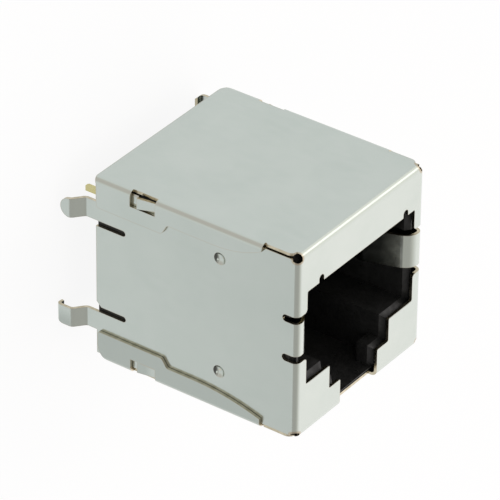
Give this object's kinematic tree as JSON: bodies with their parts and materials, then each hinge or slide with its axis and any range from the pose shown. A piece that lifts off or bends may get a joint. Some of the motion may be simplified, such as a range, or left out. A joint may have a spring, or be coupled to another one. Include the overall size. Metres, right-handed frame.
{
  "type": "rj45 board jack",
  "caption": "Shielded modular jack for a circuit board, top entry, with a folded metal shield, a stepped plug cavity with sprung contacts, and solder tabs.",
  "frame": {"origin": "centre of the shield's footprint, on the surface of the circuit board that the jack stands on", "axes": "+Z out of the plug opening, away from the board; +Y towards the contact side; -Y towards the plug's latch; +X to the right when looking into the opening with the contact side up"},
  "size_m": [0.0156, 0.014, 0.0186],
  "materials": {
    "shield": "satin tin plate",
    "housing": "fine moulded black",
    "carrier": "fine moulded black",
    "contact": "gold plate"
  },
  "bodies": {
    "root": {"shield": "shield", "housing": "housing", "contact_carrier": "carrier", "contact_1": "contact", "contact_2": "contact", "contact_3": "contact", "contact_4": "contact", "contact_5": "contact", "contact_6": "contact", "contact_7": "contact", "contact_8": "contact"}
  },
  "joints": []
}
